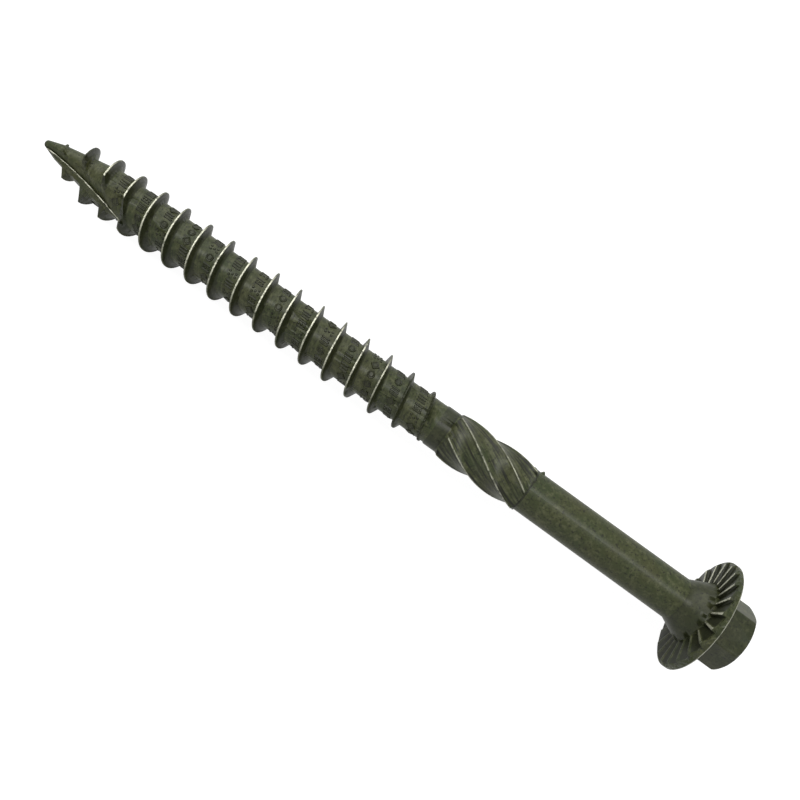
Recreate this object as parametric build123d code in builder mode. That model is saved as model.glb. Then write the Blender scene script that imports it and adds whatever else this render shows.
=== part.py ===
from build123d import *

import os
from math import atan2, cos, degrees, pi, radians, sin, tan

# A hex-flange timber screw: one piece of steel wire, headed, rolled, pinched and pointed.
# Millimetres. The screw is modelled along its own axis, with its point at the origin and +Z towards
# the head, and angles about the axis start at +X. At the end it is laid down as it rests on a table.

# Lengths along the axis
length_under_head = 100.0
swell_length = 2.3
point_length = 10.2
thread_start = 2.6
thread_length = 59.6
plain_neck_length = 1.75
plain_neck_ramp = 0.25
thread_tail_overlap = 1.35
reamer_length = 12.3
neck_cone_length = 2.8
flange_thickness = 1.05
head_height = 5.9

# Shaft
nose_radius = 0.4
swell_diameter = 2.3
root_diameter = 5.4
shank_diameter = 5.66

# Thread
thread_diameter = 7.7
thread_pitch = 3.5
crest_width = 0.16
point_flank_angle = 5.0
head_flank_angle = 25.0
fin_rooting = 0.4
first_crest_height = 0.2
early_crest_radius = 3.15
early_crest_turns = 0.9
rise_turns = 1.75
late_crest_radius = 3.5
late_crest_turns = 1.6
fade_turns = 3.4

# Slash: a V of two ground walls that runs up out of the point and ends in the thread.
# Each station is the floor of the V: its place along the axis, then its X and Y.
slash_stations = ((-1.0, -0.50, -0.15), (7.5, -1.05, 1.25), (15.0, -2.80, 1.55))
slash_face_angle = 46.0
slash_back_angle = 92.0
slash_reach = 6.0

# Land beside the slash, ground flat through the thread's first turns.
# Each station is its place along the axis and the land's distance from the axis.
land_stations = ((-1.0, 0.5), (10.2, 2.5), (13.2, 2.6), (15.8, 4.0))
land_facing = 125.0

# Reamer. Each corner of a lobe is its angle from the lobe's edge and its distance from the axis.
reamer_lobes = 6
reamer_lead = 34.0
reamer_turn = 32.5
lobe_corners = (
    (-30.0, 2.74),
    (-20.0, 2.79),
    (-10.0, 2.95),
    (-1.0, 3.25),
    (1.0, 3.25),
    (4.0, 3.03),
    (10.0, 2.93),
    (20.0, 2.79),
)
reamer_core_diameter = 5.2
reamer_envelope_diameter = 6.7
reamer_ramp = 0.7
reamer_seat = 0.25

# Head
neck_diameter = 8.4
flange_diameter = 15.2
bearing_edge_width = 0.5
bearing_edge_depth = 0.36
flange_back_edge = 0.15
flange_back_rise = 0.45
hex_flats = 8.0
hex_corner_radius = 0.3
hex_turn = -12.0
hex_face_diameter = 7.3
hex_chamfer_angle = 30.0
hex_shoulder_softness = 0.7
hex_rim_softness = 0.4

# Serrations of the bearing face
serration_count = 21
serration_neck_depth = 0.5
serration_rim_depth = 0.4
serration_land = 0.12
serration_turn = -8.1
serration_rooting = 0.15
serration_clearance = 0.1

# Worked out from the sizes above
swell_radius = swell_diameter / 2
root_radius = root_diameter / 2
crest_radius = thread_diameter / 2
shank_radius = shank_diameter / 2
neck_radius = neck_diameter / 2
flange_radius = flange_diameter / 2
flange_back = length_under_head + flange_thickness
head_end = length_under_head + head_height
plain_neck_start = thread_start + thread_length - thread_tail_overlap
reamer_start = plain_neck_start + plain_neck_length
reamer_end = reamer_start + reamer_length
reamer_core_radius = reamer_core_diameter / 2
reamer_envelope_radius = reamer_envelope_diameter / 2
neck_start = length_under_head - neck_cone_length
hex_face_radius = hex_face_diameter / 2
hex_corner_reach = hex_flats / 2 / cos(pi / 6)


def cone_radius(station):
    """The radius of the bare point at a place along the axis, behind its fuller front."""
    return swell_radius + (root_radius - swell_radius) * (station - swell_length) / (point_length - swell_length)


def fin_section(path, place, floor_radius, top_radius):
    """The thread's section at a place along its helix: a narrow fin, steep towards the point, with a flat crest."""
    point = path @ place
    half_crest = crest_width / 2
    point_foot = half_crest + (top_radius - floor_radius) * tan(radians(point_flank_angle))
    head_foot = half_crest + (top_radius - floor_radius) * tan(radians(head_flank_angle))
    low = floor_radius - root_radius
    high = top_radius - root_radius
    outward = Vector(point.X, point.Y, 0)
    with BuildSketch(Plane(point, x_dir=outward, z_dir=path % place)) as section:
        with BuildLine():
            Polyline((low, -head_foot), (high, -half_crest), (high, half_crest), (low, point_foot), close=True)
        make_face()
    return section.sketch


# The thread follows one helix at the root, in three spans: rising out of the point, full, and fading.
thread_turns = thread_length / thread_pitch
thread_helix = Helix(thread_pitch, thread_length, root_radius, center=(0, 0, thread_start))
rising_helix = thread_helix.trim(0, rise_turns / thread_turns)
full_helix = thread_helix.trim(rise_turns / thread_turns, 1 - fade_turns / thread_turns)
fading_helix = thread_helix.trim(1 - fade_turns / thread_turns, 1)

fin_floor = root_radius - fin_rooting
first_cone = cone_radius(thread_start)
early_cone = cone_radius(thread_start + early_crest_turns * thread_pitch)
rising_sections = [
    fin_section(rising_helix, 0, first_cone - fin_rooting, first_cone + first_crest_height),
    fin_section(rising_helix, early_crest_turns / rise_turns, early_cone - fin_rooting, early_crest_radius),
    fin_section(rising_helix, 1, fin_floor, crest_radius),
]
full_section = fin_section(full_helix, 0, fin_floor, crest_radius)
fading_sections = [
    fin_section(fading_helix, 0, fin_floor, crest_radius),
    fin_section(fading_helix, 1 - late_crest_turns / fade_turns, fin_floor, late_crest_radius),
    fin_section(fading_helix, 1, fin_floor, root_radius - crest_width),
]

with BuildPart() as rising_thread:
    sweep(sections=rising_sections, path=rising_helix, multisection=True, is_frenet=True)

with BuildPart() as full_thread:
    sweep(sections=full_section, path=full_helix, is_frenet=True)

with BuildPart() as fading_thread:
    sweep(sections=fading_sections, path=fading_helix, multisection=True, is_frenet=True)

# The reamer: a lobed section, twisted along the axis and trimmed to a short cone at each end.
reamer_axis = Line((0, 0, reamer_start), (0, 0, reamer_end))
reamer_twist = Helix(reamer_lead, reamer_length, crest_radius, center=(0, 0, reamer_start))

with BuildPart() as reamer:
    with BuildSketch(Plane.XY.offset(reamer_start)):
        with BuildLine():
            corners = []
            for lobe in range(reamer_lobes):
                for corner_angle, corner_radius in lobe_corners:
                    angle = radians(reamer_turn + lobe * 360 / reamer_lobes + corner_angle)
                    corners.append((corner_radius * cos(angle), corner_radius * sin(angle)))
            Polyline(*corners, close=True)
        make_face()
    sweep(path=reamer_axis, binormal=reamer_twist)
    with BuildSketch(Plane.XZ):
        with BuildLine():
            Polyline(
                (0, reamer_start),
                (reamer_core_radius, reamer_start),
                (reamer_envelope_radius, reamer_start + reamer_ramp),
                (reamer_envelope_radius, reamer_end - reamer_ramp),
                (reamer_core_radius, reamer_end),
                (0, reamer_end),
                close=True,
            )
        make_face()
    revolve(axis=Axis.Z, mode=Mode.INTERSECT)

# The hexagon, with softened corners and a chamfer that rounds its end.
chamfer_drop = (hex_corner_reach - hex_face_radius) * tan(radians(hex_chamfer_angle))

with BuildPart() as hexagon:
    with BuildSketch(Plane.XY.offset(length_under_head)):
        RegularPolygon(hex_flats / 2, 6, major_radius=False, rotation=hex_turn)
    extrude(amount=head_height)
    fillet(hexagon.edges().filter_by(Axis.Z), hex_corner_radius)
    with BuildSketch(Plane.XZ):
        with BuildLine():
            FilletPolyline(
                (0, length_under_head),
                (hex_corner_reach, length_under_head),
                (hex_corner_reach, head_end - chamfer_drop),
                (hex_face_radius, head_end),
                (0, head_end),
                radius=(0, hex_shoulder_softness, hex_rim_softness),
            )
            Line((0, head_end), (0, length_under_head))
        make_face()
    revolve(axis=Axis.Z, mode=Mode.INTERSECT)

# One gap of the saw-tooth serrations: steep on one side, deepest at the neck, and run out on the rim's edge.
gap_ends = (
    (neck_radius - serration_rooting, serration_neck_depth),
    (flange_radius + serration_clearance, serration_rim_depth),
)

with BuildPart() as serration_gap:
    for gap_radius, gap_depth in gap_ends:
        gap_width = 2 * pi * gap_radius / serration_count - serration_land * gap_radius / flange_radius
        with BuildSketch(Plane((gap_radius, 0, length_under_head), x_dir=(0, 1, 0), z_dir=(1, 0, 0))):
            with BuildLine():
                Polyline(
                    (0, gap_depth), (0, -serration_clearance), (gap_width, -serration_clearance), (gap_width, 0), close=True
                )
            make_face()
    loft()

# The slash's V, lofted through its three stations.
with BuildPart() as slash:
    for station, floor_x, floor_y in slash_stations:
        with BuildSketch(Plane.XY.offset(station)):
            with BuildLine():
                Polyline(
                    (floor_x, floor_y),
                    (
                        floor_x + slash_reach * cos(radians(slash_face_angle)),
                        floor_y + slash_reach * sin(radians(slash_face_angle)),
                    ),
                    (
                        floor_x + slash_reach * cos(radians(slash_back_angle)),
                        floor_y + slash_reach * sin(radians(slash_back_angle)),
                    ),
                    close=True,
                )
            make_face()
    loft()

# The land: everything outside a plane that climbs with the cone and then leaves the thread.
land_normal = Vector(cos(radians(land_facing)), sin(radians(land_facing)), 0)

with BuildPart() as land:
    for station, land_distance in land_stations:
        with BuildSketch(Plane(land_normal * land_distance + Vector(0, 0, station), x_dir=land_normal, z_dir=(0, 0, 1))):
            Rectangle(slash_reach, 2 * slash_reach, align=(Align.MIN, Align.CENTER))
    loft(ruled=True)

# The screw along its own axis: a turned shape, then everything that is raised on it or cut into it.
with BuildPart() as forging:
    with BuildSketch(Plane.XZ):
        with BuildLine():
            FilletPolyline((0, 0), (nose_radius, 0), (swell_radius, swell_length), radius=nose_radius)
            Polyline(
                (swell_radius, swell_length),
                (root_radius, point_length),
                (root_radius, plain_neck_start),
                (shank_radius, plain_neck_start + plain_neck_ramp),
                (shank_radius, reamer_start + reamer_seat),
                (reamer_core_radius, reamer_start + reamer_seat),
                (reamer_core_radius, reamer_end - reamer_seat),
                (shank_radius, reamer_end - reamer_seat),
                (shank_radius, neck_start),
                (neck_radius, length_under_head),
                (flange_radius - bearing_edge_width, length_under_head),
                (flange_radius, length_under_head + bearing_edge_depth),
                (flange_radius, flange_back - flange_back_edge),
                (flange_radius - flange_back_edge, flange_back),
                (hex_corner_reach, flange_back + flange_back_rise),
                (0, flange_back + flange_back_rise),
                (0, 0),
            )
        make_face()
    revolve(axis=Axis.Z)
    add(hexagon.part)
    add(reamer.part)
    add(full_thread.part)
    add(rising_thread.part)
    add(fading_thread.part)
    with PolarLocations(0, serration_count, start_angle=serration_turn):
        add(serration_gap.part, mode=Mode.SUBTRACT)
    add(slash.part, mode=Mode.SUBTRACT)
    add(land.part, mode=Mode.SUBTRACT)

# At rest the screw lies on the rim of its flange and on the first full turn of its thread.
rim_station = length_under_head + bearing_edge_depth
crest_station = thread_start + rise_turns * thread_pitch
rest_tilt = atan2(flange_radius - crest_radius, rim_station - crest_station)
rest_height = flange_radius * cos(rest_tilt) - rim_station * sin(rest_tilt)
rest_length = head_end * cos(rest_tilt) + hex_face_radius * sin(rest_tilt)
laid_axis = Plane((-rest_length / 2, 0, rest_height), x_dir=(0, 1, 0), z_dir=(cos(rest_tilt), 0, sin(rest_tilt)))

with BuildPart() as screw:
    with Locations(laid_axis.location):
        add(forging.part)

screw.part.label = "screw"
os.makedirs("parts", exist_ok=True)
export_step(screw.part, "parts/screw.step")
print("lies at", round(degrees(rest_tilt), 2), "degrees")
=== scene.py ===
import math
import random

import bpy
from mathutils import Matrix, Vector


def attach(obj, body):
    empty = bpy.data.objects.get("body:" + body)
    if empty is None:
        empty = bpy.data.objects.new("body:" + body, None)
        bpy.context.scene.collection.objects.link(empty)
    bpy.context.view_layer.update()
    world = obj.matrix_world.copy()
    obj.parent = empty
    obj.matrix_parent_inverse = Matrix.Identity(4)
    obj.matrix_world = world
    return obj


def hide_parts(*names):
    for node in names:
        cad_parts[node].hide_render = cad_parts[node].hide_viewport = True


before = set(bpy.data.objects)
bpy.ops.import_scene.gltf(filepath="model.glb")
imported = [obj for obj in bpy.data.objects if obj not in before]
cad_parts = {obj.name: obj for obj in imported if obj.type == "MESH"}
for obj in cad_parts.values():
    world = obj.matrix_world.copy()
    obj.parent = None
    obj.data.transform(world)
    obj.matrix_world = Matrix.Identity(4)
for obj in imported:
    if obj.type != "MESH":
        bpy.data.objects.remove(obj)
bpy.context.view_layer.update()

MM = 0.001

# Where the screw's point lies, and how far its axis rises towards the head
POINT_PLACE = Vector((-0.052980, 0, 0.003490))
LIE_ANGLE = math.radians(2.3434)

# Sizes of the screw, in millimetres along its own axis from the point and out from that axis
THREAD_START = 2.6
THREAD_PITCH = 3.5
ROOT_RADIUS = 2.7
CREST_RADIUS = 3.85
REAMER_START = 62.6
REAMER_END = 74.9
REAMER_LEAD = 34.0
CROWN_RADIUS = 3.25
SHANK_RADIUS = 2.83
CONE_START = 97.2
BEARING_FACE = 100.0
NECK_RADIUS = 4.2
LAND_RADIUS = 7.1
RIM_RADIUS = 7.6
RIM_BACK = 101.05

# How far out the surface is looked for
SURFACE_REACH = 5.0

# The slash's floor passes through three places: station, across and up
SLASH_FLOOR = ((-1.0, -0.50, -0.15), (7.5, -1.05, 1.25), (15.0, -2.80, 1.55))
SLASH_END = 12.95

# The pale line of bare steel with its painted highlight beside the slash is found on the ridge, place
# by place
EDGE_START = 0.9
EDGE_STEP = 0.3
EDGE_PLACES = 46
EDGE_RADIUS = 0.065
RIDGE_SEARCH_START = 0.3
RIDGE_SEARCH_STEP = 0.02
RIDGE_SEARCH_STEPS = 39
RIDGE_RISE = 0.05

# The row of marks along the thread's root, and how clear it keeps of the slash
MARKS_START = 9.5
MARKS_END = 59.5
MARKS_PER_TURN = 13
MIDDLE_OF_ROOT = 0.62
MARK_SINK = 0.015
ROOT_TOLERANCE = 0.05
CLEAR_BEHIND_SLASH = 1.5
CLEAR_OF_SLASH = 1.3

# Sizes of the marks: all are equally high, and their sides slope
MARK_HEIGHT = 0.2
BAR_LENGTH = 1.2
BAR_WIDTH = 0.3
BAR_SLOPE = 0.09
DOT_RADIUS = 0.2
DOT_SLOPE = 0.08
LOZENGE_REACH = 0.68
DISC_REACH = 0.54
PAD_SLOPE = 0.07
GROOVE_MARGIN = 0.12
GROOVE_SIDE = 0.1
GROOVE_DEPTH = 0.05

# Burrs behind the reamer: station, angle about the axis and size
BURRS = ((75.25, 4, 0.4), (74.75, 184, 0.22))
BURR_TIP = 0.08
BURR_SLOPE = 0.04
BURR_SLANT = 25
BURR_STAND = 0.3

# Colours of the coating and of the steel under it; the dark olive is also the painted shade, the near
# black the painted shade at the marks' feet, and the steel the painted highlight
GREEN_OLIVE = (0.0275, 0.0362, 0.0128)
BROWN_OLIVE = (0.039, 0.0422, 0.016)
PALE_OLIVE = (0.0775, 0.0825, 0.040)
DARK_OLIVE = (0.010, 0.011, 0.006)
MARK_FOOT_SHADE = (0.008, 0.008, 0.005)
PALE_STEEL = (0.58, 0.58, 0.46)

# Zones of the finish, of the painted shade and of the painted highlights along the screw, each with
# its two ends
THREAD_ZONE = (THREAD_START, REAMER_START)
MARKED_ZONE = (MARKS_START - 2, REAMER_START - 2)
REAMER_ZONE = (REAMER_START + 0.3, REAMER_END - 0.3)
REAMER_FRONT_RING = (REAMER_START - 0.1, REAMER_START + 0.12)
REAMER_BACK_RING = (REAMER_END - 0.42, REAMER_END - 0.16)
REAMER_BACK_EDGE = (REAMER_END - 0.16, REAMER_END + 0.05)
CONE_ZONE = (CONE_START, BEARING_FACE - 0.02)
TOOTH_LANDS = (BEARING_FACE - 0.04, BEARING_FACE + 0.05)
SERRATION_GAPS = (BEARING_FACE + 0.09, BEARING_FACE + 0.55)
RIM_BACK_EDGE = (RIM_BACK - 0.17, RIM_BACK + 0.02)
HEXAGON_START = RIM_BACK + 0.42

# Zones of the finish, of the painted shade and of the painted highlights by the distance from the
# axis
FLANK_RADII = (ROOT_RADIUS + 0.08, CREST_RADIUS - 0.1)
GAP_RADII = (NECK_RADIUS - 0.1, LAND_RADIUS + 0.15)
LAND_RADII = (NECK_RADIUS + 0.15, LAND_RADIUS + 0.05)
ROOT_LIMIT = ROOT_RADIUS + 0.1
MARK_FOOT_LIMIT = ROOT_RADIUS + 0.068
RIM_LIMIT = RIM_RADIUS - 0.14
SHANK_LIMIT = SHANK_RADIUS + 0.06

# How closely the streaks lie, across and along their run
REAMER_STREAKS_ACROSS = 4.6
REAMER_STREAKS_ALONG = 0.12
ROOT_STREAKS_ACROSS = 3.6
ROOT_STREAKS_ALONG = 2.2

# Soft limits of the patterns, where a finish begins to show and where it shows in full
BROWN_SHADES = (0.35, 0.65)
PALE_PATCHES = (0.48, 0.75)
DARK_SPECKS = (0.46, 0.3)
DARK_REAMER_STREAKS = (0.5, 0.38)
PALE_REAMER_STREAKS = (0.56, 0.68)
BRIGHT_ROOT_STREAKS = (0.52, 0.72)
DULL_ROOT_STREAKS = (0.46, 0.3)
# How the rub with its painted highlight breaks up in patches
PATCHY_RUB_AND_HIGHLIGHT = (0.3, 0.52)
RUB_TO_STEEL = (0.6, 0.42)

# Soft limits of the same kind by place, in millimetres, for the painted shade and for the rub with
# its painted highlight
CREST_RUB_AND_HIGHLIGHT = (CREST_RADIUS - 0.1, CREST_RADIUS - 0.02)
CROWN_RUB_AND_HIGHLIGHT = (CROWN_RADIUS - 0.07, CROWN_RADIUS - 0.01)
CREASE_SHADE = (0.45, 0.15)
HEXAGON_SHADE = (3.6, 2.8)
# Where the painted highlight on crests and teeth fades towards the unlit side, in millimetres across
CREST_LOWER_SIDE = (-3.6, -0.6)
CREST_UPPER_SIDE = (3.5, 2.3)
TEETH_SIDE = (-3.5, 1.5)

# How strongly each finish, painted shade and painted highlight shows, from nought to one
SHADE_OF_CONE = 0.6
SHADE_OF_HEXAGON = 0.5
SHADE_OF_FLANKS = 0.75
SHADE_OF_ALL = 0.75
STRENGTH_ON_ROOT = 0.7
STRENGTH_OF_PALE = 0.05
EDGE_RUB_AND_HIGHLIGHT = 0.45
TEETH_RUB_AND_HIGHLIGHT = 0.6
UNDERSIDE_RUB_AND_HIGHLIGHT = 0.12
SHADE_AT_MARK_FEET = 0.9
METAL_IN_RUB_AND_HIGHLIGHT = 0.5

# Nodes are laid out in columns, in the order in which they are made
NODES_PER_COLUMN = 8
COLUMN_WIDTH = 200
ROW_HEIGHT = 180

# The screw's own axes in the scene: along it, across it and up from it
ALONG = Vector((math.cos(LIE_ANGLE), 0, math.sin(LIE_ANGLE)))
ACROSS = Vector((0, 1, 0))
UPWARD = ALONG.cross(ACROSS)


def outward_at(angle):
    """The way out from the screw's axis at an angle about it, in degrees."""
    turn = math.radians(angle)
    return ACROSS * math.cos(turn) + UPWARD * math.sin(turn)


def spot_on_screw(station, radius, angle):
    """A point of the scene from a station, a radius and an angle about the screw's axis."""
    return POINT_PLACE + (ALONG * station + outward_at(angle) * radius) * MM


def curve_through(places):
    """The numbers of the even curve through three places, each a station and a value."""
    (first, low), (second, middle), (third, high) = places
    slope = (middle - low) / (second - first)
    bend = ((high - middle) / (third - second) - slope) / (third - first)
    return first, second, low, slope, bend


def curve_value(curve, station):
    first, second, low, slope, bend = curve
    return low + (station - first) * (slope + bend * (station - second))


FLOOR_ACROSS = curve_through([(station, across) for station, across, _ in SLASH_FLOOR])
FLOOR_UP = curve_through([(station, up) for station, _, up in SLASH_FLOOR])


def clear_selection():
    if bpy.context.object and bpy.context.object.mode != "OBJECT":
        bpy.ops.object.mode_set(mode="OBJECT")
    bpy.ops.object.select_all(action="DESELECT")


def make_active(piece):
    clear_selection()
    piece.select_set(True)
    bpy.context.view_layer.objects.active = piece


def forged_screw():
    """The screw itself, its facets joined up and its soft faces smoothed."""
    clear_selection()
    original = bpy.data.objects["screw"]
    screw = original.copy()
    screw.data = original.data.copy()
    screw.name = "forged_screw"
    screw.data.name = "forged_screw"
    bpy.context.scene.collection.objects.link(screw)
    make_active(screw)
    bpy.ops.object.mode_set(mode="EDIT")
    bpy.ops.mesh.select_all(action="SELECT")
    bpy.ops.mesh.remove_doubles(threshold=0.004 * MM)
    bpy.ops.object.mode_set(mode="OBJECT")
    bpy.ops.object.shade_smooth_by_angle(angle=math.radians(24))
    even = screw.modifiers.new("even_normals", "WEIGHTED_NORMAL")
    even.keep_sharp = True
    even.weight = 60
    bpy.ops.object.modifier_apply(modifier=even.name)
    return screw


screw = forged_screw()


class Wiring:
    """The nodes of one material, or of the world, and the links between them."""

    def __init__(self, holder):
        holder.use_nodes = True
        self.tree = holder.node_tree
        self.tree.nodes.clear()

    def add(self, kind, **settings):
        made_before = len(self.tree.nodes)
        made = self.tree.nodes.new(kind)
        column, row = divmod(made_before, NODES_PER_COLUMN)
        made.location = (column * COLUMN_WIDTH, -row * ROW_HEIGHT)
        for name, value in settings.items():
            setattr(made, name, value)
        return made

    def link(self, source, target):
        self.tree.links.new(source, target)

    def maths(self, operation, first, second=None):
        made = self.add("ShaderNodeMath", operation=operation)
        for socket, value in zip(made.inputs, (first, second)):
            if isinstance(value, (int, float)):
                socket.default_value = value
            elif value is not None:
                self.link(value, socket)
        return made.outputs[0]

    def added(self, first, second):
        return self.maths("ADD", first, second)

    def less(self, first, second):
        return self.maths("SUBTRACT", first, second)

    def times(self, first, second):
        return self.maths("MULTIPLY", first, second)

    def either(self, first, second):
        return self.maths("MAXIMUM", first, second)

    def above(self, value, limit):
        return self.maths("GREATER_THAN", value, limit)

    def below(self, value, limit):
        return self.maths("LESS_THAN", value, limit)

    def within(self, value, zone):
        """One where a value lies between the two ends of a zone, and nought elsewhere."""
        low, high = zone
        return self.times(self.above(value, low), self.below(value, high))

    def distance(self, first, second):
        squares = self.added(self.times(first, first), self.times(second, second))
        return self.maths("SQRT", squares)

    def curve(self, curve, station):
        """The value of an even curve at the shaded spot's station."""
        first, second, low, slope, bend = curve
        steep = self.added(self.times(self.less(station, second), bend), slope)
        return self.added(self.times(self.less(station, first), steep), low)

    def noise(self, vector, scale, detail, roughness=0.55):
        made = self.add("ShaderNodeTexNoise")
        made.inputs["Scale"].default_value = scale
        made.inputs["Detail"].default_value = detail
        made.inputs["Roughness"].default_value = roughness
        self.link(vector, made.inputs["Vector"])
        return made.outputs["Fac"]

    def rising(self, value, limits):
        """Nought at the first limit, one at the second, and even between them."""
        made = self.add("ShaderNodeMapRange")
        made.inputs["From Min"].default_value, made.inputs["From Max"].default_value = limits
        self.link(value, made.inputs["Value"])
        return made.outputs["Result"]

    def mixed(self, factor, first, second):
        made = self.add("ShaderNodeMix", data_type="RGBA")
        self.link(factor, made.inputs[0])
        for socket, value in ((made.inputs[6], first), (made.inputs[7], second)):
            if isinstance(value, tuple):
                socket.default_value = (*value, 1)
            else:
                self.link(value, socket)
        return made.outputs[2]

    def vector(self, first, second):
        made = self.add("ShaderNodeCombineXYZ")
        self.link(first, made.inputs[0])
        self.link(second, made.inputs[1])
        return made.outputs[0]

    def bumps(self, height, strength, depth):
        made = self.add("ShaderNodeBump")
        made.inputs["Strength"].default_value = strength
        made.inputs["Distance"].default_value = depth * MM
        self.link(height, made.inputs["Height"])
        return made

    def backdrop_seen(self):
        """One for the rays that show the white backdrop: straight, mirrored and through glass."""
        rays = self.add("ShaderNodeLightPath").outputs
        mirrored = self.either(rays["Is Camera Ray"], rays["Is Glossy Ray"])
        return self.either(mirrored, rays["Is Transmission Ray"])


class ShadedSpot:
    """The shaded spot in the screw's own millimetres: where it is along, across, up and around."""

    def __init__(self, wiring):
        own = wiring.add("ShaderNodeMapping", vector_type="TEXTURE")
        own.inputs["Location"].default_value = POINT_PLACE
        own.inputs["Rotation"].default_value = (0, -LIE_ANGLE, 0)
        own.inputs["Scale"].default_value = (MM, MM, MM)
        wiring.link(wiring.add("ShaderNodeTexCoord").outputs["Object"], own.inputs["Vector"])
        self.place = own.outputs[0]
        split = wiring.add("ShaderNodeSeparateXYZ")
        wiring.link(self.place, split.inputs[0])
        self.station, self.across, self.up = split.outputs
        self.radius = wiring.distance(self.across, self.up)
        self.turn = wiring.maths("ARCTAN2", self.across, self.up)
        self.on_reamer = wiring.within(self.station, REAMER_ZONE)


def mottled_olive(wiring, spot, patches):
    """Green and brown olive in broad shades, with paler patches and dark specks."""
    shades = wiring.noise(spot.place, scale=0.26, detail=3)
    specks = wiring.noise(spot.place, scale=3.2, detail=3, roughness=0.6)
    olive = wiring.mixed(wiring.rising(shades, BROWN_SHADES), GREEN_OLIVE, BROWN_OLIVE)
    lighter = wiring.mixed(wiring.rising(patches, PALE_PATCHES), olive, PALE_OLIVE)
    return wiring.mixed(wiring.rising(specks, DARK_SPECKS), lighter, DARK_OLIVE)


def streaked_reamer(wiring, spot, colour):
    """Dark and pale streaks that follow the reamer's twist."""
    unwound = wiring.added(spot.turn, wiring.times(spot.station, 2 * math.pi / REAMER_LEAD))
    drawn_out = wiring.vector(
        wiring.times(unwound, REAMER_STREAKS_ACROSS), wiring.times(spot.station, REAMER_STREAKS_ALONG)
    )
    streaks = wiring.noise(drawn_out, scale=1.9, detail=2)
    dark = wiring.times(wiring.rising(streaks, DARK_REAMER_STREAKS), spot.on_reamer)
    pale = wiring.times(wiring.rising(streaks, PALE_REAMER_STREAKS), spot.on_reamer)
    colour = wiring.mixed(dark, colour, DARK_OLIVE)
    return wiring.mixed(wiring.times(pale, STRENGTH_OF_PALE), colour, PALE_STEEL)


def streaked_root(wiring, spot, colour):
    """Streaks that the rolling left along the thread's root."""
    in_step = wiring.added(spot.station, wiring.times(spot.turn, THREAD_PITCH / (2 * math.pi)))
    drawn_out = wiring.vector(
        wiring.times(in_step, ROOT_STREAKS_ACROSS), wiring.times(spot.turn, ROOT_STREAKS_ALONG)
    )
    streaks = wiring.noise(drawn_out, scale=1.0, detail=3, roughness=0.65)
    on_root = wiring.times(
        wiring.within(spot.station, MARKED_ZONE), wiring.below(spot.radius, ROOT_LIMIT)
    )
    bright = wiring.times(wiring.rising(streaks, BRIGHT_ROOT_STREAKS), on_root)
    dull = wiring.times(wiring.rising(streaks, DULL_ROOT_STREAKS), on_root)
    colour = wiring.mixed(wiring.times(bright, STRENGTH_ON_ROOT), colour, PALE_OLIVE)
    return wiring.mixed(wiring.times(dull, STRENGTH_ON_ROOT), colour, DARK_OLIVE)


def painted_shade(wiring, spot, colour):
    """Painted shade: darker in the serration gaps, along the slash's crease and the reamer's end
    rings, on the thread's flanks, the neck cone and the hexagon but for its upper, lit side.
    """
    in_gaps = wiring.times(
        wiring.within(spot.station, SERRATION_GAPS), wiring.within(spot.radius, GAP_RADII)
    )
    on_flanks = wiring.times(
        wiring.within(spot.radius, FLANK_RADII), wiring.within(spot.station, THREAD_ZONE)
    )
    reamer_rings = wiring.either(
        wiring.within(spot.station, REAMER_FRONT_RING), wiring.within(spot.station, REAMER_BACK_RING)
    )
    from_floor = wiring.distance(
        wiring.less(spot.across, wiring.curve(FLOOR_ACROSS, spot.station)),
        wiring.less(spot.up, wiring.curve(FLOOR_UP, spot.station)),
    )
    in_crease = wiring.times(
        wiring.rising(from_floor, CREASE_SHADE), wiring.below(spot.station, SLASH_END)
    )
    on_cone = wiring.times(wiring.within(spot.station, CONE_ZONE), SHADE_OF_CONE)
    # Painted shade on the hexagon, all but its upper, lit side
    on_hexagon = wiring.times(
        wiring.above(spot.station, HEXAGON_START), wiring.rising(spot.across, HEXAGON_SHADE)
    )
    on_head = wiring.either(on_cone, wiring.times(on_hexagon, SHADE_OF_HEXAGON))
    on_thread = wiring.either(wiring.times(on_flanks, SHADE_OF_FLANKS), reamer_rings)
    shaded = wiring.either(wiring.either(on_thread, in_crease), wiring.either(in_gaps, on_head))
    return wiring.mixed(wiring.times(shaded, SHADE_OF_ALL), colour, DARK_OLIVE)


def painted_highlight_and_rub(wiring, spot, patches):
    """How far the coating shows rub with a painted highlight: on crests, crowns, tooth lands and the
    edges of the rings.
    """
    crests = wiring.times(
        wiring.rising(spot.radius, CREST_RUB_AND_HIGHLIGHT), wiring.below(spot.station, REAMER_START)
    )
    crowns = wiring.times(wiring.rising(spot.radius, CROWN_RUB_AND_HIGHLIGHT), spot.on_reamer)
    tooth_lands = wiring.times(
        wiring.within(spot.station, TOOTH_LANDS), wiring.within(spot.radius, LAND_RADII)
    )
    rim_edge = wiring.times(
        wiring.within(spot.station, RIM_BACK_EDGE), wiring.above(spot.radius, RIM_LIMIT)
    )
    reamer_edge = wiring.times(
        wiring.within(spot.station, REAMER_BACK_EDGE), wiring.above(spot.radius, SHANK_LIMIT)
    )
    edges = wiring.times(
        wiring.either(wiring.either(crowns, rim_edge), reamer_edge), EDGE_RUB_AND_HIGHLIGHT
    )
    # The crests carry rub and a painted highlight along the screw's lit upper side, and the
    # serrations on one side only
    lit_upper_side = wiring.times(
        wiring.rising(spot.across, CREST_LOWER_SIDE), wiring.rising(spot.across, CREST_UPPER_SIDE)
    )
    crest_highlight_and_rub = wiring.times(crests, wiring.either(lit_upper_side, UNDERSIDE_RUB_AND_HIGHLIGHT))
    lit_side_of_teeth = wiring.rising(spot.across, TEETH_SIDE)
    teeth_highlight_and_rub = wiring.times(wiring.times(tooth_lands, lit_side_of_teeth), TEETH_RUB_AND_HIGHLIGHT)
    highlight_and_rub = wiring.either(wiring.either(crest_highlight_and_rub, teeth_highlight_and_rub), edges)
    return wiring.times(highlight_and_rub, wiring.rising(patches, PATCHY_RUB_AND_HIGHLIGHT))


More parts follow.
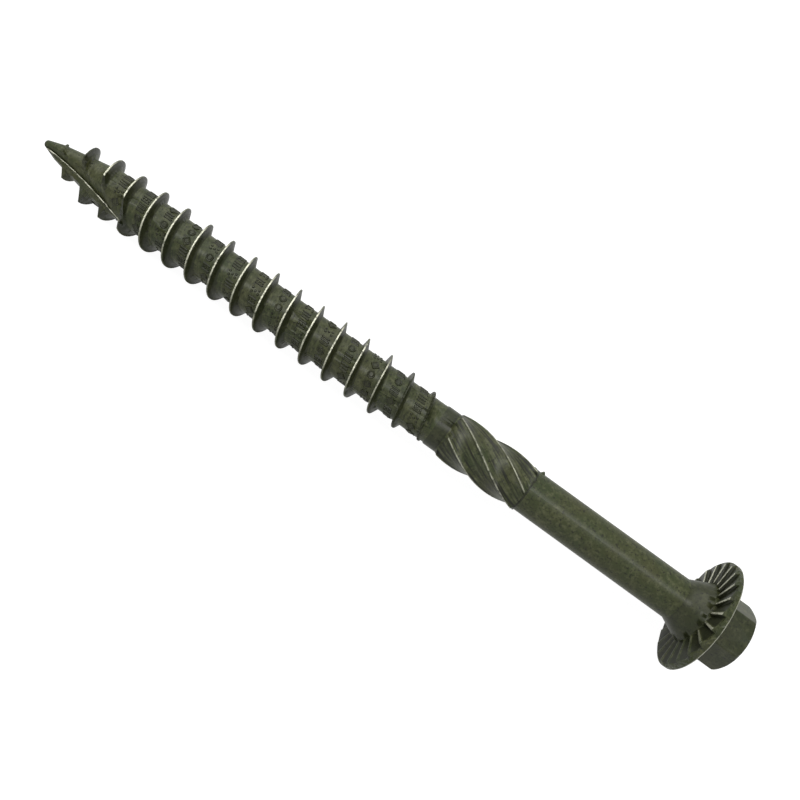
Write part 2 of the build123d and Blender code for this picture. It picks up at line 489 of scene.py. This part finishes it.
def green_coating(name, shaded_feet=False):
    """Olive green coating: mottled, with painted shade in its gaps, creases and unlit faces, and pale
    rub with a painted highlight on what stands proud.
    """
    material = bpy.data.materials.new(name)
    wiring = Wiring(material)
    output = wiring.add("ShaderNodeOutputMaterial")
    coat = wiring.add("ShaderNodeBsdfPrincipled")
    wiring.link(coat.outputs[0], output.inputs[0])

    spot = ShadedSpot(wiring)
    patches = wiring.noise(spot.place, scale=1.3, detail=4, roughness=0.65)
    grit = wiring.noise(spot.place, scale=6.5, detail=2)
    colour = mottled_olive(wiring, spot, patches)
    colour = streaked_reamer(wiring, spot, colour)
    colour = streaked_root(wiring, spot, colour)
    # Painted shade in gaps, creases and on unlit faces, then rub with a painted highlight on what
    # stands proud
    colour = painted_shade(wiring, spot, colour)
    highlight_and_rub_amount = painted_highlight_and_rub(wiring, spot, patches)
    # Pale steel where the coating is rubbed, also standing for the painted highlight
    colour = wiring.mixed(highlight_and_rub_amount, colour, PALE_STEEL)
    if shaded_feet:
        # Painted shade at the foot of each raised mark, where it meets the root
        shade_at_foot = wiring.times(wiring.below(spot.radius, MARK_FOOT_LIMIT), SHADE_AT_MARK_FEET)
        colour = wiring.mixed(shade_at_foot, colour, MARK_FOOT_SHADE)
    wiring.link(colour, coat.inputs["Base Color"])

    roughness = wiring.add("ShaderNodeMapRange")
    roughness.inputs["To Min"].default_value = 0.42
    roughness.inputs["To Max"].default_value = 0.62
    wiring.link(patches, roughness.inputs["Value"])
    wiring.link(roughness.outputs[0], coat.inputs["Roughness"])
    wiring.link(wiring.times(highlight_and_rub_amount, METAL_IN_RUB_AND_HIGHLIGHT), coat.inputs["Metallic"])
    coat.inputs["Specular IOR Level"].default_value = 0.03
    coat.inputs["Coat Weight"].default_value = 0.32
    coat.inputs["Coat Roughness"].default_value = 0.34

    lumps = wiring.bumps(patches, strength=0.5, depth=0.1)
    grain = wiring.bumps(grit, strength=0.35, depth=0.03)
    wiring.link(lumps.outputs[0], grain.inputs["Normal"])
    wiring.link(grain.outputs[0], coat.inputs["Normal"])
    return material


def worn_steel_and_highlight():
    """Bare steel where the rub goes through the coating, painted pale as a highlight, broken up by
    what is left of it.
    """
    material = bpy.data.materials.new("worn_steel_and_highlight")
    wiring = Wiring(material)
    output = wiring.add("ShaderNodeOutputMaterial")
    steel = wiring.add("ShaderNodeBsdfPrincipled")
    wiring.link(steel.outputs[0], output.inputs[0])
    place = wiring.add("ShaderNodeTexCoord").outputs["Object"]
    flecks = wiring.noise(place, scale=900, detail=3)
    rubbed_through = wiring.rising(flecks, RUB_TO_STEEL)
    wiring.link(wiring.mixed(rubbed_through, PALE_OLIVE, PALE_STEEL), steel.inputs["Base Color"])
    steel.inputs["Roughness"].default_value = 0.5
    return material


def finish_mark(name, slope):
    """Names a new mark and gives it sloping sides."""
    mark = bpy.context.object
    mark.name = name
    bpy.ops.object.mode_set(mode="EDIT")
    bpy.ops.mesh.select_mode(type="EDGE")
    bpy.ops.mesh.select_all(action="SELECT")
    bpy.ops.mesh.bevel(offset=slope * MM, segments=1, affect="EDGES")
    bpy.ops.object.mode_set(mode="OBJECT")
    return mark


def raised_bar():
    """A bar that points along X."""
    clear_selection()
    bpy.ops.mesh.primitive_cube_add(size=1, scale=(BAR_LENGTH * MM, BAR_WIDTH * MM, MARK_HEIGHT * MM))
    bpy.ops.object.transform_apply(location=False, rotation=False, scale=True)
    return finish_mark("bar", BAR_SLOPE)


def raised_dot():
    clear_selection()
    bpy.ops.mesh.primitive_cylinder_add(vertices=6, radius=DOT_RADIUS * MM, depth=MARK_HEIGHT * MM)
    return finish_mark("dot", DOT_SLOPE)


def grooved_pad(name, corners, reach):
    """A flat pad with a groove that follows its outline."""
    clear_selection()
    bpy.ops.mesh.primitive_cylinder_add(vertices=corners, radius=reach * MM, depth=MARK_HEIGHT * MM)
    pad = finish_mark(name, PAD_SLOPE)
    bpy.ops.object.mode_set(mode="EDIT")
    bpy.ops.mesh.select_mode(type="FACE")
    bpy.ops.mesh.select_all(action="DESELECT")
    bpy.ops.object.mode_set(mode="OBJECT")
    for face in pad.data.polygons:
        face.select = face.normal.z > 0.99
    bpy.ops.object.mode_set(mode="EDIT")
    bpy.ops.mesh.inset(thickness=GROOVE_MARGIN * MM)
    bpy.ops.transform.translate(value=(0, 0, -GROOVE_DEPTH * MM))
    bpy.ops.mesh.inset(thickness=GROOVE_SIDE * MM)
    bpy.ops.transform.translate(value=(0, 0, GROOVE_DEPTH * MM))
    bpy.ops.object.mode_set(mode="OBJECT")
    return pad


def copy_on_surface(piece, station, radius, angle, slant=0):
    """A copy of a piece on the screw's surface, with its X along the screw and its Z outwards."""
    copy = piece.copy()
    copy.data = piece.data.copy()
    bpy.context.scene.collection.objects.link(copy)
    outward = outward_at(angle)
    around = outward.cross(ALONG)
    on_surface = Matrix((ALONG, around, outward)).transposed().to_4x4()
    on_surface.translation = spot_on_screw(station, radius, angle)
    copy.data.transform(on_surface @ Matrix.Rotation(math.radians(slant), 4, "Z"))
    return copy


def surface_radius(station, angle):
    """How far out the screw's surface is at a spot, in millimetres."""
    start = spot_on_screw(station, SURFACE_REACH, angle)
    inward = (spot_on_screw(station, 0, angle) - start).normalized()
    hit, place, _, _ = screw.ray_cast(start, inward, distance=SURFACE_REACH * MM)
    if not hit:
        return 0
    return SURFACE_REACH - (place - start).length / MM


def beside_slash(station, angle):
    """Whether a spot on the root lies in the slash or close to it."""
    turn = math.radians(angle)
    aside = ROOT_RADIUS * math.cos(turn) - curve_value(FLOOR_ACROSS, station)
    above = ROOT_RADIUS * math.sin(turn) - curve_value(FLOOR_UP, station)
    return station < SLASH_END + CLEAR_BEHIND_SLASH and math.hypot(aside, above) < CLEAR_OF_SLASH


def on_bare_root(station, angle):
    """Whether the surface at a spot is the thread's root, clear of the slash and of the turns."""
    if station <= MARKS_START or beside_slash(station, angle):
        return False
    return abs(surface_radius(station, angle) - ROOT_RADIUS) < ROOT_TOLERANCE


def join(pieces, name):
    clear_selection()
    for piece in pieces:
        piece.select_set(True)
    bpy.context.view_layer.objects.active = pieces[0]
    bpy.ops.object.join()
    joined = bpy.context.object
    joined.name = name
    joined.data.name = name
    return joined


def root_marks():
    """A row of raised pads, bars and dots that follows the thread along the middle of its root."""
    rng = random.Random(7)
    bar, dot = raised_bar(), raised_dot()
    lozenge = grooved_pad("lozenge", corners=4, reach=LOZENGE_REACH)
    disc = grooved_pad("disc", corners=8, reach=DISC_REACH)
    # Each pattern lists its marks: what, how far along, and how many degrees around
    patterns = (
        ((lozenge, 0, 0),),
        ((disc, 0, 0),),
        ((bar, 0, -7.5), (dot, -0.4, 0), (dot, 0, 0), (dot, 0.4, 0), (bar, 0, 7.5)),
        ((dot, -0.45, -5), (dot, 0.45, -5), (dot, 0, 0), (dot, -0.45, 5), (dot, 0.45, 5)),
        ((bar, 0, -8), (bar, 0, 0), (bar, 0, 8)),
    )
    placed = []
    turns = 0
    while True:
        middle = THREAD_START + (turns + MIDDLE_OF_ROOT) * THREAD_PITCH
        if middle > MARKS_END:
            break
        pattern = patterns[rng.randrange(len(patterns))]
        for mark, shift, swing in pattern:
            station = middle + shift + swing / 360 * THREAD_PITCH
            angle = turns * 360 + swing
            if on_bare_root(station, angle):
                placed.append(copy_on_surface(mark, station, ROOT_RADIUS - MARK_SINK, angle))
        turns += 1 / MARKS_PER_TURN
    for mark in (bar, dot, lozenge, disc):
        bpy.data.objects.remove(mark)
    return join(placed, "root_marks")


def surface_place(station, sideways):
    """The highest place of the surface at a station and a distance across, and how far down it is."""
    start = POINT_PLACE + (ALONG * station + ACROSS * sideways + UPWARD * SURFACE_REACH) * MM
    _, place, _, _ = screw.ray_cast(start, -UPWARD, distance=2 * SURFACE_REACH * MM)
    return place, (place - start).length / MM


def ridge_place(station):
    """The first place, going away from the slash, where the surface steps up on to the ridge."""
    floor_across = curve_value(FLOOR_ACROSS, station)
    _, before = surface_place(station, floor_across + RIDGE_SEARCH_START)
    for step in range(1, RIDGE_SEARCH_STEPS + 1):
        sideways = floor_across + RIDGE_SEARCH_START - step * RIDGE_SEARCH_STEP
        place, depth = surface_place(station, sideways)
        if before - depth > RIDGE_RISE:
            return place
        before = depth
    return surface_place(station, floor_across)[0]


def slash_edge():
    """The thin pale line on the ridge beside the slash, bare steel with a painted highlight, which
    runs out on the root behind it.
    """
    line = bpy.data.curves.new("slash_edge", "CURVE")
    line.dimensions = "3D"
    line.bevel_depth = EDGE_RADIUS * MM
    line.bevel_resolution = 1
    line.use_fill_caps = True
    spline = line.splines.new("NURBS")
    spline.points.add(EDGE_PLACES - 1)
    for number, point in enumerate(spline.points):
        point.co = (*ridge_place(EDGE_START + number * EDGE_STEP), 1)
    spline.order_u = 4
    spline.use_endpoint_u = True
    spline.resolution_u = 3
    edge = bpy.data.objects.new("slash_edge", line)
    bpy.context.scene.collection.objects.link(edge)
    make_active(edge)
    bpy.ops.object.convert(target="MESH")
    bpy.ops.object.shade_smooth_by_angle(angle=math.radians(40))
    return bpy.context.object


def reamer_burrs():
    """Small wedges of metal that the rolling pushed up behind the reamer."""
    placed = []
    for station, angle, size in BURRS:
        clear_selection()
        bpy.ops.mesh.primitive_cone_add(
            vertices=7, radius1=size * MM, radius2=BURR_TIP * MM, depth=size * MM
        )
        burr = finish_mark("burr", BURR_SLOPE)
        radius = SHANK_RADIUS + BURR_STAND * size
        placed.append(copy_on_surface(burr, station, radius, angle, BURR_SLANT))
        bpy.data.objects.remove(burr)
    return join(placed, "reamer_burrs")


coating = green_coating("green_coating")
finishes = (
    (screw, coating),
    (root_marks(), green_coating("coating_on_marks", shaded_feet=True)),
    (slash_edge(), worn_steel_and_highlight()),
    (reamer_burrs(), coating),
)
for piece, finish in finishes:
    piece.data.materials.clear()
    piece.data.materials.append(finish)
    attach(piece, "root")
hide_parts("screw")


def grey(level):
    return (level, level, level, 1)


def white_floor():
    """A floor that looks white, and still takes the screw's shadow."""
    clear_selection()
    bpy.ops.mesh.primitive_plane_add(size=3, location=(0, 0, 0))
    floor = bpy.context.object
    floor.name = "floor"
    material = bpy.data.materials.new("white_floor")
    wiring = Wiring(material)
    output = wiring.add("ShaderNodeOutputMaterial")
    paper = wiring.add("ShaderNodeBsdfDiffuse")
    paper.inputs["Color"].default_value = grey(0.7)
    faint = wiring.add("ShaderNodeBsdfDiffuse")
    faint.inputs["Color"].default_value = grey(0.25)
    glow = wiring.add("ShaderNodeEmission")
    glow.inputs["Strength"].default_value = 0.9
    white = wiring.add("ShaderNodeAddShader")
    wiring.link(faint.outputs[0], white.inputs[0])
    wiring.link(glow.outputs[0], white.inputs[1])
    pick = wiring.add("ShaderNodeMixShader")
    wiring.link(wiring.backdrop_seen(), pick.inputs[0])
    wiring.link(paper.outputs[0], pick.inputs[1])
    wiring.link(white.outputs[0], pick.inputs[2])
    wiring.link(pick.outputs[0], output.inputs[0])
    floor.data.materials.append(material)


def area_lamp(name, place, size, power):
    """A flat lamp that faces the screw, long along X and short across."""
    lamp = bpy.data.lights.new(name, "AREA")
    lamp.shape = "RECTANGLE"
    lamp.size, lamp.size_y = size
    lamp.energy = power
    holder = bpy.data.objects.new(name, lamp)
    bpy.context.scene.collection.objects.link(holder)
    holder.location = place
    holder.rotation_euler = (-Vector(place)).to_track_quat("-Z", "Y").to_euler()


def studio():
    """A dim room that looks white, with a window, a long lamp overhead and a weak fill light."""
    world = bpy.data.worlds.new("studio")
    bpy.context.scene.world = world
    wiring = Wiring(world)
    output = wiring.add("ShaderNodeOutputWorld")
    dim, white = wiring.add("ShaderNodeBackground"), wiring.add("ShaderNodeBackground")
    for backdrop, strength in ((dim, 0.36), (white, 1)):
        backdrop.inputs["Color"].default_value = grey(1)
        backdrop.inputs["Strength"].default_value = strength
    pick = wiring.add("ShaderNodeMixShader")
    wiring.link(wiring.backdrop_seen(), pick.inputs[0])
    wiring.link(dim.outputs[0], pick.inputs[1])
    wiring.link(white.outputs[0], pick.inputs[2])
    wiring.link(pick.outputs[0], output.inputs[0])
    area_lamp("window_light", place=(-0.22, 0.40, 0.22), size=(0.5, 0.5), power=2.1)
    area_lamp("overhead_light", place=(0, 0.15, 0.48), size=(0.42, 0.09), power=1.5)
    area_lamp("fill_light", place=(0, -0.42, 0.26), size=(0.6, 0.6), power=0.35)


white_floor()
studio()

camera = bpy.data.cameras.new("camera")
camera.lens = 38.25
camera.sensor_width = 36
camera.clip_start = 0.005
camera_holder = bpy.data.objects.new("camera", camera)
bpy.context.scene.collection.objects.link(camera_holder)
camera_holder.location = (0.0026, -0.00014, 0.1114)
camera_holder.rotation_euler = (0, 0, math.radians(35.9))
bpy.context.scene.camera = camera_holder
bpy.context.scene.view_settings.view_transform = "Standard"
